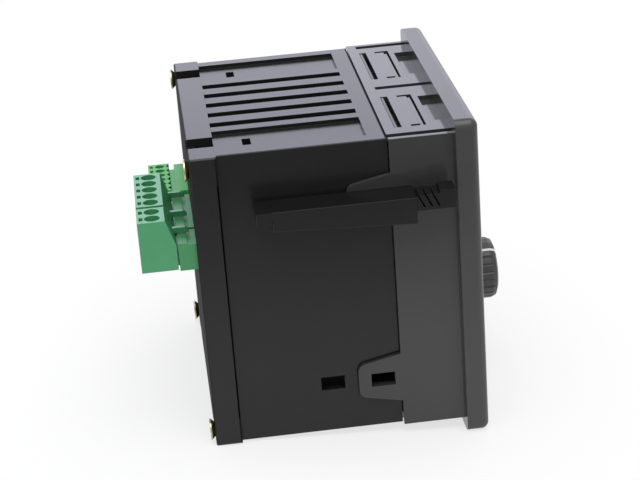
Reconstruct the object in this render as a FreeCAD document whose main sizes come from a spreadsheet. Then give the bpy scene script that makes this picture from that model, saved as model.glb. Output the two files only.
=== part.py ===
# Panel temperature controller: 96 mm square bezel, setpoint knob, plug-in terminals and two side clips.
# Frame: Z is up, the front looks along -Y, and X points to the right of someone facing the front.
# The origin is the middle of the bezel's back face, which bears on the panel.
import FreeCAD, Part
import math
import os
from types import SimpleNamespace

import Sketcher

# Driving sizes, in millimetres and degrees
SIZES = {
    # Bezel and front wall
    "bezel_side": 96.0,
    "bezel_depth": 6.5,
    "bezel_corner": 2.5,
    "bezel_edge": 2.2,
    "front_wall": 3.0,
    "field_side": 84.0,
    "field_drop": 0.6,
    # Sleeve behind the panel
    "sleeve_width": 91.0,
    "sleeve_height": 88.2,
    "sleeve_depth": 18.2,
    "sleeve_wall": 2.4,
    "sleeve_roof": 2.8,
    # Long grooves, catch windows, spring tongues and recesses in the sleeve's top and bottom
    "groove_width": 2.6,
    "groove_drop": 1.3,
    "groove_inset": 2.9,
    "groove_reach": 15.3,
    "window_near": 8.6,
    "window_span": 27.9,
    "window_rear": 15.1,
    "window_length": 2.1,
    "tongue_root": 10.3,
    "tongue_tip": 6.6,
    "tongue_cut": 1.4,
    "tongue_gap": 0.5,
    "tongue_lip": 1.0,
    "tongue_step": 0.5,
    "recess_near": 11.0,
    "recess_span": 22.5,
    "recess_length": 4.45,
    "recess_drop": 1.5,
    # Tapered side tabs that lap over the rear housing, and the slots for the clips
    "tab_upper": 26.6,
    "tab_lower": 28.75,
    "tab_root": 15.1,
    "tab_end": 9.9,
    "tab_reach": 12.5,
    "tab_round": 2.5,
    "slot_length": 6.9,
    "slot_height": 4.15,
    "slot_front": 20.1,
    "slot_pitch": 14.5,
    # Rear housing
    "housing_width": 88.4,
    "housing_height": 88.0,
    "housing_wall": 2.4,
    "housing_roof": 3.6,
    "housing_length": 47.15,
    "housing_edge": 0.4,
    "spigot_length": 10.0,
    "catch_height": 2.8,
    "catch_land": 0.7,
    "vent_count": 5,
    "vent_pitch": 9.03,
    "vent_width": 3.8,
    "vent_inset": 5.1,
    "vent_overrun": 1.2,
    "channel_near": 23.8,
    "channel_span": 16.2,
    "channel_drop": 1.1,
    "eye_width": 5.2,
    "eye_length": 2.4,
    "eye_setback": 10.5,
    "post_length": 22.0,
    "post_reach": 4.1,
    "rail_reach": 1.9,
    "rail_height": 1.2,
    # Rear cover and its screws
    "cover_width": 91.6,
    "cover_height": 88.2,
    "cover_depth": 7.6,
    "cover_plate": 2.6,
    "cover_edge": 0.4,
    "cover_groove": 0.5,
    "cover_groove_reach": 0.8,
    "lap_length": 4.0,
    "lap_wall": 1.2,
    "notch_near": 28.6,
    "notch_span": 8.0,
    "screw_inset": 3.5,
    "screw_drop": 4.0,
    "screw_core": 2.4,
    "screw_length": 14.0,
    "screw_head": 6.2,
    "screw_rim": 0.4,
    "screw_sink": 0.6,
    # Display and status lamps
    "display_width": 56.0,
    "display_height": 24.0,
    "display_rise": 20.0,
    "module_width": 50.0,
    "module_height": 19.0,
    "module_depth": 7.4,
    "lamp_diameter": 3.0,
    "lamp_flange": 4.4,
    "lamp_spread": 34.0,
    "lamp_rise": 1.5,
    "lamp_proud": 0.8,
    "lamp_round": 0.6,
    # Setpoint knob and potentiometer
    "knob_drop": 17.4,
    "knob_diameter": 18.8,
    "knob_height": 11.0,
    "knob_clear": 0.9,
    "knob_edge": 2.0,
    "knob_hollow": 14.0,
    "knob_hollow_depth": 2.8,
    "flute_count": 24,
    "flute_width": 1.0,
    "flute_depth": 0.35,
    "pointer_width": 0.8,
    "pointer_depth": 0.85,
    "pointer_reach": 6.5,
    "pointer_proud": 0.05,
    "pointer_angle": 32.0,
    "shaft_diameter": 6.0,
    "shaft_reach": 9.0,
    "bushing_diameter": 8.0,
    "bushing_reach": 3.2,
    "pot_diameter": 16.5,
    "pot_depth": 8.0,
    "pot_floor": 3.0,
    "nut_across": 10.5,
    "nut_height": 2.2,
    # Circuit boards and the parts on them
    "board_thickness": 1.6,
    "board_margin": 0.6,
    "front_board_at": 5.0,
    "stake_side": 5.0,
    "stake_pin": 2.6,
    "stake_inset": 5.5,
    "stake_proud": 0.8,
    "main_board_drop": 34.0,
    "terminal_board_gap": 0.8,
    "terminal_board_width": 74.0,
    "terminal_board_top": 30.0,
    "core_width": 33.0,
    "core_length": 28.0,
    "core_height": 27.5,
    "core_window": 5.5,
    "transformer_offset": 18.0,
    "transformer_at": 40.0,
    "relay_width": 12.8,
    "relay_length": 29.0,
    "relay_height": 15.8,
    "relay_offset": 22.0,
    "relay_at": 44.0,
    "capacitor_diameter": 12.5,
    "capacitor_height": 21.0,
    "capacitor_round": 1.0,
    "capacitor_offset": 12.0,
    "capacitor_at": 20.0,
    # Terminal headers and plugs, both pitches
    "header_floor": 2.4,
    "header_wall": 0.9,
    "pin_side": 1.0,
    "pin_reach": 7.0,
    # Large terminals, 5.08 mm pitch
    "large_pitch": 5.08,
    "large_margin": 1.0,
    "large_row_end": 44.4,
    "large_row_gap": 1.4,
    "large_header_base": 11.4,
    "large_header_height": 7.7,
    "large_header_depth": 10.3,
    "large_plug_gap": 0.4,
    "large_plug_base": 11.8,
    "large_plug_height": 14.9,
    "large_plug_depth": 10.25,
    "large_well": 4.3,
    "large_well_setback": 4.3,
    "large_well_depth": 7.0,
    "large_entry_width": 3.9,
    "large_entry_height": 4.6,
    "large_entry_rise": 2.2,
    "large_entry_depth": 7.0,
    "large_probe_width": 2.3,
    "large_probe_length": 1.1,
    "large_probe_setback": 0.6,
    "plug_slope": 2.5,
    "plug_shoulder": 7.5,
    "latch_length": 2.6,
    "latch_height": 0.4,
    "rib_width": 1.3,
    "rib_height": 1.6,
    "rib_reach": 4.0,
    "rib_round": 1.1,
    # Small terminals, 3.81 mm pitch
    "small_pitch": 3.81,
    "small_margin": 0.8,
    "small_row_start": 1.0,
    "small_header_base": 11.2,
    "small_header_height": 6.8,
    "small_header_depth": 8.65,
    "small_plug_gap": 1.5,
    "small_plug_base": 7.6,
    "small_plug_height": 10.9,
    "small_plug_depth": 6.4,
    "small_well": 2.8,
    "small_well_setback": 3.6,
    "small_well_depth": 5.5,
    "small_entry_width": 2.8,
    "small_entry_height": 3.2,
    "small_entry_rise": 1.4,
    "small_entry_depth": 5.0,
    "small_probe_width": 1.9,
    "small_probe_length": 1.0,
    "small_probe_setback": 0.5,
    "tooth_depth": 1.0,
    "tooth_drop": 3.0,
    "tooth_land": 0.5,
    # Side clips
    "clip_proud": 10.0,
    "clip_wall": 1.6,
    "clip_front": 12.5,
    "clip_length": 39.9,
    "clip_top": 3.5,
    "clip_front_height": 7.7,
    "clip_rear_height": 5.7,
    "clip_round": 0.25,
    "hook_length": 3.6,
    "hook_height": 3.5,
    "hook_toe": 1.4,
    "hook_toe_depth": 1.4,
    "spring_length": 6.3,
    "spring_width": 6.5,
    "spring_rise": 0.6,
    "spring_slot": 0.5,
    "spring_slot_depth": 5.0,
    "spring_pitch": 2.05,
    "spring_lean": 1.8,
    "spring_web": 0.9,
    "tip_length": 4.4,
    "tip_height": 5.4,
    "tip_rise": 1.5,
    "grip_length": 4.3,
    "grip_height": 3.5,
    # Clearances
    "seam_gap": 0.25,
    "tab_gap": 0.15,
    "slide_fit": 0.15,
    "loose_fit": 0.3,
    "shaft_fit": 0.05,
}

doc = FreeCAD.newDocument("TemperatureController")
sheet = doc.addObject("Spreadsheet::Sheet", "Sizes")


class Size:
    """A length that carries its value and the spreadsheet formula it comes from."""

    def __init__(self, value, text):
        self.value = value
        self.text = text

    def __add__(self, other):
        other = sized(other)
        return Size(self.value + other.value, f"({self.text} + {other.text})")

    def __sub__(self, other):
        other = sized(other)
        return Size(self.value - other.value, f"({self.text} - {other.text})")

    def __mul__(self, other):
        other = sized(other)
        return Size(self.value * other.value, f"({self.text} * {other.text})")

    def __truediv__(self, other):
        other = sized(other)
        return Size(self.value / other.value, f"({self.text} / {other.text})")

    def __neg__(self):
        return Size(-self.value, f"(-{self.text})")


def sized(number):
    return number if isinstance(number, Size) else Size(float(number), f"({float(number)})")


def wider(first, second):
    return Size(max(first.value, second.value), f"max({first.text}; {second.text})")


def fill_sheet():
    named = SimpleNamespace()
    for row, (name, value) in enumerate(SIZES.items(), start=1):
        sheet.set(f"A{row}", name)
        sheet.set(f"B{row}", str(value))
        sheet.setAlias(f"B{row}", name)
        setattr(named, name, Size(value, f"Sizes.{name}"))
    doc.recompute()
    return named


s = fill_sheet()
ZERO = sized(0)
SIDES = (-1, 1)
ARC_MIDDLE = 1 - math.sqrt(0.5)
CORNERS = [(x_side, z_side) for x_side in SIDES for z_side in (1, -1)]
PLANES = {"front": "XZ_Plane", "side": "YZ_Plane", "top": "XY_Plane"}


# Sketches: every vertex is tied to the origin by a formula of the sheet
def origin_part(body, role):
    return next(feature for feature in body.Origin.OriginFeatures if feature.Role == role)


def new_body(label):
    body = doc.addObject("PartDesign::Body", label)
    body.Label = label
    return body


def new_sketch(body, plane, level, shapes):
    sketch = body.newObject("Sketcher::SketchObject", "Outline")
    sketch.AttachmentSupport = (origin_part(body, PLANES[plane]), [""])
    sketch.MapMode = "FlatFace"
    along_normal = -level if plane == "front" else level
    sketch.setExpression("AttachmentOffset.Base.z", along_normal.text)
    for shape in shapes:
        if isinstance(shape, SimpleNamespace):
            draw_circle(sketch, shape)
        else:
            draw_polygon(sketch, shape)
    return sketch


def tie(sketch, kind, places, size):
    index = sketch.addConstraint(Sketcher.Constraint(kind, *places, size.value))
    sketch.setExpression(f"Constraints[{index}]", size.text)


def draw_polygon(sketch, points):
    spots = [FreeCAD.Vector(across.value, up.value, 0) for across, up in points]
    sides = [Part.LineSegment(start, end) for start, end in zip(spots, spots[1:] + spots[:1])]
    first = sketch.addGeometry(sides, False)[0]
    for index, (across, up) in enumerate(points):
        following = first + (index + 1) % len(points)
        sketch.addConstraint(Sketcher.Constraint("Coincident", first + index, 2, following, 1))
        tie(sketch, "DistanceX", (-1, 1, first + index, 1), across)
        tie(sketch, "DistanceY", (-1, 1, first + index, 1), up)


def draw_circle(sketch, disc):
    middle = FreeCAD.Vector(disc.across.value, disc.up.value, 0)
    index = sketch.addGeometry(Part.Circle(middle, FreeCAD.Vector(0, 0, 1), disc.radius.value), False)
    tie(sketch, "DistanceX", (-1, 1, index, 3), disc.across)
    tie(sketch, "DistanceY", (-1, 1, index, 3), disc.up)
    tie(sketch, "Radius", (index,), disc.radius)


def circle(across, up, diameter):
    return SimpleNamespace(across=across, up=up, radius=diameter / 2)


def rect(left, right, bottom, top):
    return [(left, bottom), (right, bottom), (right, top), (left, top)]


def square(across, up, side):
    return rect(across - side / 2, across + side / 2, up - side / 2, up + side / 2)


def centred(width, height):
    return rect(-width / 2, width / 2, -height / 2, height / 2)


def round_rim(front, radius, edge):
    """The quarter round from a turned piece's front face to its side, as two chords."""
    middle = edge * ARC_MIDDLE
    return [(front, radius - edge), (front + middle, radius - middle), (front + edge, radius)]


def on_side(side, inner, outer):
    """The low and high end of a span on the plus side, or mirrored to the minus side."""
    return (inner, outer) if side > 0 else (-outer, -inner)


# Features: outlines are padded, cut, turned, repeated and rounded
def extrude(body, plane, shapes, low, high, cutting):
    from_high = cutting != (plane == "front")
    sketch = new_sketch(body, plane, high if from_high else low, shapes)
    kind = "Pocket" if cutting else "Pad"
    feature = body.newObject(f"PartDesign::{kind}", kind)
    feature.Profile = sketch
    feature.setExpression("Length", (high - low).text)
    body.Tip = feature
    return feature


def add(body, plane, shapes, low, high):
    return extrude(body, plane, shapes, low, high, False)


def cut(body, plane, shapes, low, high):
    return extrude(body, plane, shapes, low, high, True)


def turn(body, profile):
    """A solid turned about the Y axis; the profile's points are places along Y and radii."""
    sketch = new_sketch(body, "side", ZERO, [profile])
    feature = body.newObject("PartDesign::Revolution", "Turned")
    feature.Profile = sketch
    feature.ReferenceAxis = (origin_part(body, "Y_Axis"), [""])
    feature.Angle = 360
    body.Tip = feature


def stand_at(body, x, z):
    body.setExpression("Placement.Base.x", x.text)
    body.setExpression("Placement.Base.z", z.text)


def repeat(body, feature, pitch, count):
    pattern = body.newObject("PartDesign::LinearPattern", "Row")
    pattern.Originals = [feature]
    pattern.Direction = (origin_part(body, "X_Axis"), [""])
    pattern.setExpression("Length", (pitch * (count - 1)).text)
    pattern.setExpression("Occurrences", count.text)
    body.Tip = pattern


def ring(body, feature, count):
    pattern = body.newObject("PartDesign::PolarPattern", "Ring")
    pattern.Originals = [feature]
    pattern.Axis = (origin_part(body, "Y_Axis"), [""])
    pattern.Angle = 360
    pattern.setExpression("Occurrences", count.text)
    body.Tip = pattern


def soften(body, size, chosen, kind="Fillet"):
    """Rounds or bevels the edges that the function chosen accepts by their middle and direction."""
    doc.recompute()
    base = body.Tip
    names = []
    for index, edge in enumerate(base.Shape.Edges, start=1):
        if edge.Degenerated:
            continue
        middle = (edge.FirstParameter + edge.LastParameter) / 2
        if chosen(edge.valueAt(middle), edge.tangentAt(middle)):
            names.append(f"Edge{index}")
    softened = body.newObject(f"PartDesign::{kind}", "Softened")
    softened.Base = (base, names)
    softened.setExpression("Radius" if kind == "Fillet" else "Size", size.text)
    body.Tip = softened


def near(number, size):
    return abs(number - size.value) < 0.01


def runs_along(direction, axis):
    return abs(getattr(direction, axis)) > 0.99


# Places that several pieces share
bezel_front = -s.bezel_depth
field_face = s.field_drop - s.bezel_depth
wall_inside = s.front_wall - s.bezel_depth
sleeve_top = s.sleeve_height / 2
sleeve_inner_x = s.sleeve_width / 2 - s.sleeve_wall
sleeve_inner_z = sleeve_top - s.sleeve_roof
tab_tip = s.sleeve_depth + s.tab_reach
tab_heights = [s.tab_upper, -s.tab_lower]
slot_fronts = [s.slot_front, s.slot_front + s.slot_pitch]
housing_front = s.sleeve_depth + s.seam_gap
housing_end = housing_front + s.housing_length
housing_top = s.housing_height / 2
housing_inner_x = s.housing_width / 2 - s.housing_wall
housing_inner_z = housing_top - s.housing_roof
spigot_x = sleeve_inner_x - s.slide_fit
spigot_z = sleeve_inner_z - s.slide_fit
lap_end = housing_end + s.lap_length
lap_x = housing_inner_x + s.lap_wall
lap_z = housing_inner_z + s.lap_wall
cover_rear = housing_end + s.cover_depth
screw_x = s.cover_width / 2 - s.screw_inset
screw_z = s.cover_height / 2 - s.screw_drop
post_x = screw_x - s.post_reach
post_z = screw_z - s.post_reach
front_board_rear = s.front_board_at + s.board_thickness
stake_x = sleeve_inner_x - s.stake_inset
stake_z = sleeve_inner_z - s.stake_inset
main_board_top = -s.main_board_drop
main_board_base = main_board_top - s.board_thickness
terminal_board_front = housing_end + s.terminal_board_gap
terminal_board_rear = terminal_board_front + s.board_thickness
knob_rear = bezel_front - s.knob_clear
knob_front = knob_rear - s.knob_height
shaft_front = knob_rear - s.shaft_reach
pot_rear = wall_inside + s.pot_depth
display_low = s.display_rise - s.display_height / 2
display_high = s.display_rise + s.display_height / 2
core_front = s.transformer_at - s.core_length / 2
core_left = -s.transformer_offset - s.core_width / 2
core_right = s.core_width / 2 - s.transformer_offset
coil_base = main_board_top + s.core_window
coil_top = main_board_top + s.core_height - s.core_window
clip_seat = wider(s.sleeve_width, s.housing_width) / 2
clip_inner = clip_seat + s.slide_fit
clip_outer = clip_seat + s.clip_proud
clip_top = s.tab_upper + s.clip_top
clip_rear = s.clip_front + s.clip_length


def family(term, name):
    return getattr(s, f"{term.pitch_name}_{name}")


def terminal(label, pitch_name, left, count, rib_poles):
    """One header and its plug; rib_poles are the poles that carry a latch arm."""
    term = SimpleNamespace(label=label, pitch_name=pitch_name, left=left, rib_poles=rib_poles)
    term.count = sized(count)
    term.pitch = family(term, "pitch")
    width = term.pitch * term.count + family(term, "margin")
    term.right = left + width
    term.first = left + width / 2 - term.pitch * (term.count - 1) / 2
    term.base = family(term, "header_base")
    term.top = term.base + family(term, "header_height")
    term.header_rear = terminal_board_rear + family(term, "header_depth")
    term.crown = term.top + s.latch_height if rib_poles else term.top
    term.plug_front = term.header_rear + family(term, "plug_gap")
    term.plug_rear = term.plug_front + family(term, "plug_depth")
    term.plug_base = family(term, "plug_base")
    term.plug_top = term.plug_base + family(term, "plug_height")
    return term


large_two = terminal("2", "large", -s.large_row_end, 2, [2])
large_five = terminal("5", "large", large_two.right + s.large_row_gap, 5, [2, 5])
small_six = terminal("6", "small", s.small_row_start, 6, [])
terminals = [large_two, large_five, small_six]
header_windows = [
    rect(term.left - s.loose_fit, term.right + s.loose_fit, term.base - s.loose_fit, term.crown + s.loose_fit)
    for term in terminals
]
screw_places = [(screw_x * x_side, screw_z * z_side) for x_side, z_side in CORNERS]
stake_places = [(stake_x * x_side, stake_z * z_side) for x_side, z_side in CORNERS]
lamp_places = [(s.lamp_spread / 2 * x_side, s.lamp_rise) for x_side in SIDES]


def slot_outline(middle, front):
    return rect(front, front + s.slot_length, middle - s.slot_height / 2, middle + s.slot_height / 2)


def tab_outlines(root, end, spread):
    root_half = s.tab_root / 2 + spread
    end_half = s.tab_end / 2 + spread
    return [
        [
            (root, middle - root_half), (end, middle - end_half),
            (end, middle + end_half), (root, middle + root_half),
        ]
        for middle in tab_heights
    ]


def stepped_frame(wide, tall, corner_x, corner_z):
    """A rectangle without its four corners."""
    return [
        (-wide, -corner_z), (-corner_x, -corner_z), (-corner_x, -tall), (corner_x, -tall),
        (corner_x, -corner_z), (wide, -corner_z), (wide, corner_z), (corner_x, corner_z),
        (corner_x, tall), (-corner_x, tall), (-corner_x, corner_z), (-wide, corner_z),
    ]


# Front housing: bezel, sleeve, side tabs and snap features
def tongue_cut_outline(x_side):
    inner = s.window_near * x_side
    inner_root = (s.window_near + s.tongue_cut) * x_side
    outer = (s.window_near + s.window_span) * x_side
    outer_root = (s.window_near + s.window_span - s.tongue_cut) * x_side
    front = s.tongue_tip - s.tongue_gap
    return [
        (inner, front), (outer, front), (outer, s.tongue_root), (outer_root, s.tongue_root),
        (outer_root, s.tongue_tip), (inner_root, s.tongue_tip), (inner_root, s.tongue_root),
        (inner, s.tongue_root),
    ]


def cut_snap_features(body):
    window_end = s.window_near + s.window_span
    window_front = s.window_rear - s.window_length
    recess_end = s.recess_near + s.recess_span
    groove_x = s.sleeve_width / 2 - s.groove_inset
    half_groove = s.groove_width / 2
    groove_ends = {-1: s.sleeve_depth, 0: s.groove_reach, 1: s.groove_reach}
    through = [rect(*on_side(side, s.window_near, window_end), window_front, s.window_rear) for side in SIDES]
    through += [tongue_cut_outline(side) for side in SIDES]
    recesses = [rect(*on_side(side, s.recess_near, recess_end), ZERO, s.recess_length) for side in SIDES]
    grooves = [
        rect(groove_x * place - half_groove, groove_x * place + half_groove, ZERO, end)
        for place, end in groove_ends.items()
    ]
    lip_end = s.tongue_tip + s.tongue_lip
    lip_floor = sleeve_top - s.tongue_step
    lips = [rect(s.tongue_tip, lip_end, *on_side(side, lip_floor, sleeve_top)) for side in SIDES]
    cut(body, "top", through, -sleeve_top, sleeve_top)
    for side in SIDES:
        cut(body, "top", recesses, *on_side(side, sleeve_top - s.recess_drop, sleeve_top))
        cut(body, "top", grooves, *on_side(side, sleeve_top - s.groove_drop, sleeve_top))
        tongue = on_side(side, s.window_near + s.tongue_cut, window_end - s.tongue_cut)
        cut(body, "side", lips, *tongue)


def make_front_housing():
    body = new_body("front_housing")
    add(body, "front", [centred(s.bezel_side, s.bezel_side)], bezel_front, ZERO)
    soften(body, s.bezel_corner, lambda place, along: runs_along(along, "y"))
    soften(body, s.bezel_edge, lambda place, along: near(place.y, bezel_front))
    add(body, "front", [centred(s.sleeve_width, s.sleeve_height)], ZERO, s.sleeve_depth)
    tabs = tab_outlines(s.sleeve_depth, tab_tip, ZERO)
    add(body, "side", tabs, -s.sleeve_width / 2, s.sleeve_width / 2)
    soften(body, s.tab_round, lambda place, along: near(place.y, tab_tip) and runs_along(along, "x"))
    cut(body, "front", [centred(sleeve_inner_x * 2, sleeve_inner_z * 2)], wall_inside, tab_tip)
    slots = [slot_outline(middle, s.slot_front) for middle in tab_heights]
    cut(body, "side", slots, -s.sleeve_width / 2, s.sleeve_width / 2)
    cut_snap_features(body)
    cut(body, "front", [centred(s.field_side, s.field_side)], bezel_front, field_face)
    openings = [rect(-s.display_width / 2, s.display_width / 2, display_low, display_high)]
    openings += [circle(ZERO, -s.knob_drop, s.bushing_diameter + s.loose_fit)]
    openings += [circle(*place, s.lamp_diameter + s.loose_fit) for place in lamp_places]
    cut(body, "front", openings, field_face, wall_inside)
    stakes = [square(*place, s.stake_side) for place in stake_places]
    add(body, "front", stakes, wall_inside, s.front_board_at)
    pins = [square(*place, s.stake_pin) for place in stake_places]
    add(body, "front", pins, s.front_board_at, front_board_rear + s.stake_proud)
    return body


# Rear housing: vented tub with channels, clip slots, spigots, catches, screw posts and board rails
def cut_roof_and_floor(body):
    vent_front = housing_front + s.vent_inset
    vent_rear = housing_end + s.vent_overrun
    first = -s.vent_pitch * (s.vent_count - 1) / 2
    slot = rect(first - s.vent_width / 2, first + s.vent_width / 2, vent_front, vent_rear)
    vent = cut(body, "top", [slot], -housing_top, housing_top)
    repeat(body, vent, s.vent_pitch, s.vent_count)
    eye_near = s.channel_near + s.channel_span / 2 - s.eye_width / 2
    eye_front = housing_end - s.eye_setback
    eyes = [
        rect(*on_side(side, eye_near, eye_near + s.eye_width), eye_front, eye_front + s.eye_length)
        for side in SIDES
    ]
    cut(body, "top", eyes, -housing_top, housing_top)
    channel_end = s.channel_near + s.channel_span
    channels = [rect(*on_side(side, s.channel_near, channel_end), vent_front, housing_end) for side in SIDES]
    for side in SIDES:
        cut(body, "top", channels, *on_side(side, housing_top - s.channel_drop, housing_top))


def add_catches(body):
    rear = s.window_rear - s.slide_fit
    front = rear - s.window_length + s.loose_fit
    top = spigot_z + s.catch_height
    land = rear - s.catch_land
    wedges = [
        [(rear, spigot_z * side), (rear, top * side), (land, top * side), (front, spigot_z * side)]
        for side in SIDES
    ]
    window_end = s.window_near + s.window_span
    for side in SIDES:
        add(body, "side", wedges, *on_side(side, s.window_near + s.slide_fit, window_end - s.slide_fit))


def add_posts_and_rails(body):
    post_front = housing_end - s.post_length
    posts = [
        rect(*on_side(x_side, post_x, housing_inner_x), *on_side(z_side, post_z, housing_inner_z))
        for x_side, z_side in CORNERS
    ]
    add(body, "front", posts, post_front, housing_end)
    holes = [circle(*place, s.screw_core + s.shaft_fit * 2) for place in screw_places]
    cut(body, "front", holes, housing_end - s.screw_length, housing_end)
    below = main_board_base - s.shaft_fit
    above = main_board_top + s.shaft_fit
    rails = []
    for side in SIDES:
        reach = on_side(side, housing_inner_x - s.rail_reach, housing_inner_x)
        rails += [rect(*reach, below - s.rail_height, below), rect(*reach, above, above + s.rail_height)]
    add(body, "front", rails, housing_front, post_front)


def make_rear_housing():
    body = new_body("rear_housing")
    add(body, "front", [centred(s.housing_width, s.housing_height)], housing_front, housing_end)
    soften(body, s.housing_edge, lambda place, along: runs_along(along, "y"))
    pocket_end = tab_tip + s.tab_gap
    pockets = tab_outlines(housing_front, pocket_end, s.tab_gap)
    cut(body, "side", pockets, -s.housing_width / 2, s.housing_width / 2)
    soften(body, s.tab_round, lambda place, along: near(place.y, pocket_end) and runs_along(along, "x"))
    spigot_front = housing_front - s.spigot_length
    add(body, "front", [centred(spigot_x * 2, spigot_z * 2)], spigot_front, pocket_end)
    lap = stepped_frame(lap_x, lap_z, post_x - s.slide_fit, post_z - s.slide_fit)
    add(body, "front", [lap], housing_end, lap_end)
    cut(body, "front", [centred(housing_inner_x * 2, housing_inner_z * 2)], spigot_front, lap_end)
    cut(body, "front", header_windows, housing_end, lap_end)
    slots = [slot_outline(middle, front) for middle in tab_heights for front in slot_fronts]
    cut(body, "side", slots, -s.housing_width / 2, s.housing_width / 2)
    cut_roof_and_floor(body)
    add_catches(body)
    add_posts_and_rails(body)
    return body


# Rear cover: frame with screw pillars, notches and terminal windows
def at_screw(place):
    reach = s.screw_head.value / 2
    return any(abs(place.x - x.value) < reach and abs(place.z - z.value) < reach for x, z in screw_places)


def make_rear_cover():
    body = new_body("rear_cover")
    add(body, "front", [centred(s.cover_width, s.cover_height)], housing_end, cover_rear)
    soften(
        body, s.cover_edge,
        lambda place, along: near(place.y, cover_rear) or runs_along(along, "y"), "Chamfer",
    )
    groove_floor = s.housing_width / 2 - s.cover_groove_reach
    grooves = [rect(*on_side(side, groove_floor, s.cover_width / 2), -post_z, post_z) for side in SIDES]
    cut(body, "front", grooves, housing_end, housing_end + s.cover_groove)
    cavity = stepped_frame(lap_x + s.slide_fit, lap_z + s.slide_fit, post_x, post_z)
    cut(body, "front", [cavity], housing_end, cover_rear - s.cover_plate)
    notch_end = s.notch_near + s.notch_span
    openings = header_windows + [circle(*place, s.screw_core + s.loose_fit * 2) for place in screw_places]
    openings += [
        rect(*on_side(x_side, s.notch_near, notch_end), *on_side(z_side, lap_z, s.cover_height / 2))
        for x_side, z_side in CORNERS
    ]
    cut(body, "front", openings, housing_end, cover_rear)
    soften(body, s.screw_sink, lambda place, along: near(place.y, cover_rear) and at_screw(place), "Chamfer")
    return body


def make_cover_screw(number, place):
    body = new_body(f"cover_screw_{number}")
    tip = housing_end - s.screw_length + s.loose_fit
    core = s.screw_core / 2
    head = s.screw_head / 2
    cone_start = cover_rear - s.screw_sink - s.loose_fit
    cone_end = cone_start + head - core
    head_top = cone_end + s.screw_rim
    turn(body, [
        (tip, ZERO), (tip, core), (cone_start, core), (cone_end, head), (head_top, head), (head_top, ZERO),
    ])
    stand_at(body, *place)
    return body


# Front: display, lamps, potentiometer and knob
def make_display_window():
    body = new_body("display_window")
    half = s.display_width / 2 - s.shaft_fit
    pane = rect(-half, half, display_low + s.shaft_fit, display_high - s.shaft_fit)
    add(body, "front", [pane], field_face, wall_inside)
    return body


def make_display_module():
    body = new_body("display_module")
    low = s.display_rise - s.module_height / 2
    block = rect(-s.module_width / 2, s.module_width / 2, low, low + s.module_height)
    add(body, "front", [block], s.front_board_at - s.module_depth, s.front_board_at)
    return body


def make_lamp(number, place):
    body = new_body(f"status_lamp_{number}")
    tip = field_face - s.lamp_proud
    lens = s.lamp_diameter / 2
    flange = s.lamp_flange / 2
    turn(body, [(tip, ZERO)] + round_rim(tip, lens, s.lamp_round) + [
        (wall_inside, lens), (wall_inside, flange), (s.front_board_at, flange), (s.front_board_at, ZERO),
    ])
    stand_at(body, *place)
    return body


def make_potentiometer():
    body = new_body("potentiometer")
    bushing_front = field_face - s.bushing_reach
    bore_end = pot_rear - s.pot_floor
    bore = s.shaft_diameter / 2 + s.shaft_fit
    bushing = s.bushing_diameter / 2
    case = s.pot_diameter / 2
    turn(body, [
        (bushing_front, bore), (bushing_front, bushing), (wall_inside, bushing), (wall_inside, case),
        (pot_rear, case), (pot_rear, ZERO), (bore_end, ZERO), (bore_end, bore),
    ])
    stand_at(body, ZERO, -s.knob_drop)
    return body


def make_potentiometer_nut():
    body = new_body("potentiometer_nut")
    corner = s.nut_across / math.sqrt(3)
    angles = [math.radians(60 * index) for index in range(6)]
    hexagon = [(corner * math.cos(angle), corner * math.sin(angle)) for angle in angles]
    bore = circle(ZERO, ZERO, s.bushing_diameter)
    add(body, "front", [hexagon, bore], field_face - s.nut_height, field_face)
    stand_at(body, ZERO, -s.knob_drop)
    return body


def make_potentiometer_shaft():
    body = new_body("potentiometer_shaft")
    rear = pot_rear - s.pot_floor - s.loose_fit
    radius = s.shaft_diameter / 2
    turn(body, [(shaft_front, ZERO), (shaft_front, radius), (rear, radius), (rear, ZERO)])
    stand_at(body, ZERO, -s.knob_drop)
    return body


def turn_to_setpoint(body):
    """Turns a piece to the pointer's angle, counter-clockwise from the top as seen from the front."""
    facing_front = FreeCAD.Vector(0, -1, 0)
    turned = FreeCAD.Rotation(facing_front, s.pointer_angle.value)
    body.Placement = FreeCAD.Placement(FreeCAD.Vector(), turned)
    body.setExpression("Placement.Rotation.Angle", s.pointer_angle.text)
    stand_at(body, ZERO, -s.knob_drop)


def pointer_outline(proud):
    """The L of the pointer: along the knob's side, round its edge and over its front."""
    radius = s.knob_diameter / 2
    floor_z = radius - s.pointer_depth
    floor_y = knob_front + s.pointer_depth
    end = radius - s.pointer_reach
    front = knob_front - proud
    rim = round_rim(front, radius + proud, s.knob_edge)
    return [(knob_rear, radius + proud)] + rim[::-1] + [
        (front, end), (floor_y, end), (floor_y, floor_z - s.knob_edge * ARC_MIDDLE),
        (floor_y + s.knob_edge * ARC_MIDDLE, floor_z), (knob_rear, floor_z),
    ]


def flute_outline(radius):
    outside = radius + s.flute_depth
    return [(radius - s.flute_depth, ZERO), (outside, -s.flute_width), (outside, s.flute_width)]


def make_knob():
    body = new_body("setpoint_knob")
    radius = s.knob_diameter / 2
    bore = s.shaft_diameter / 2
    hollow = s.knob_hollow / 2
    hollow_end = knob_rear - s.knob_hollow_depth
    turn(body, [(knob_front, ZERO)] + round_rim(knob_front, radius, s.knob_edge) + [
        (knob_rear, radius), (knob_rear, hollow), (hollow_end, hollow), (hollow_end, bore),
        (shaft_front, bore), (shaft_front, ZERO),
    ])
    flute = cut(body, "front", [flute_outline(radius)], knob_front, knob_rear)
    ring(body, flute, s.flute_count)
    cut(body, "side", [pointer_outline(s.pointer_depth)], -s.pointer_width / 2, s.pointer_width / 2)
    turn_to_setpoint(body)
    return body


def make_knob_pointer():
    body = new_body("knob_pointer")
    add(body, "side", [pointer_outline(s.pointer_proud)], -s.pointer_width / 2, s.pointer_width / 2)
    turn_to_setpoint(body)
    return body


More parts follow.
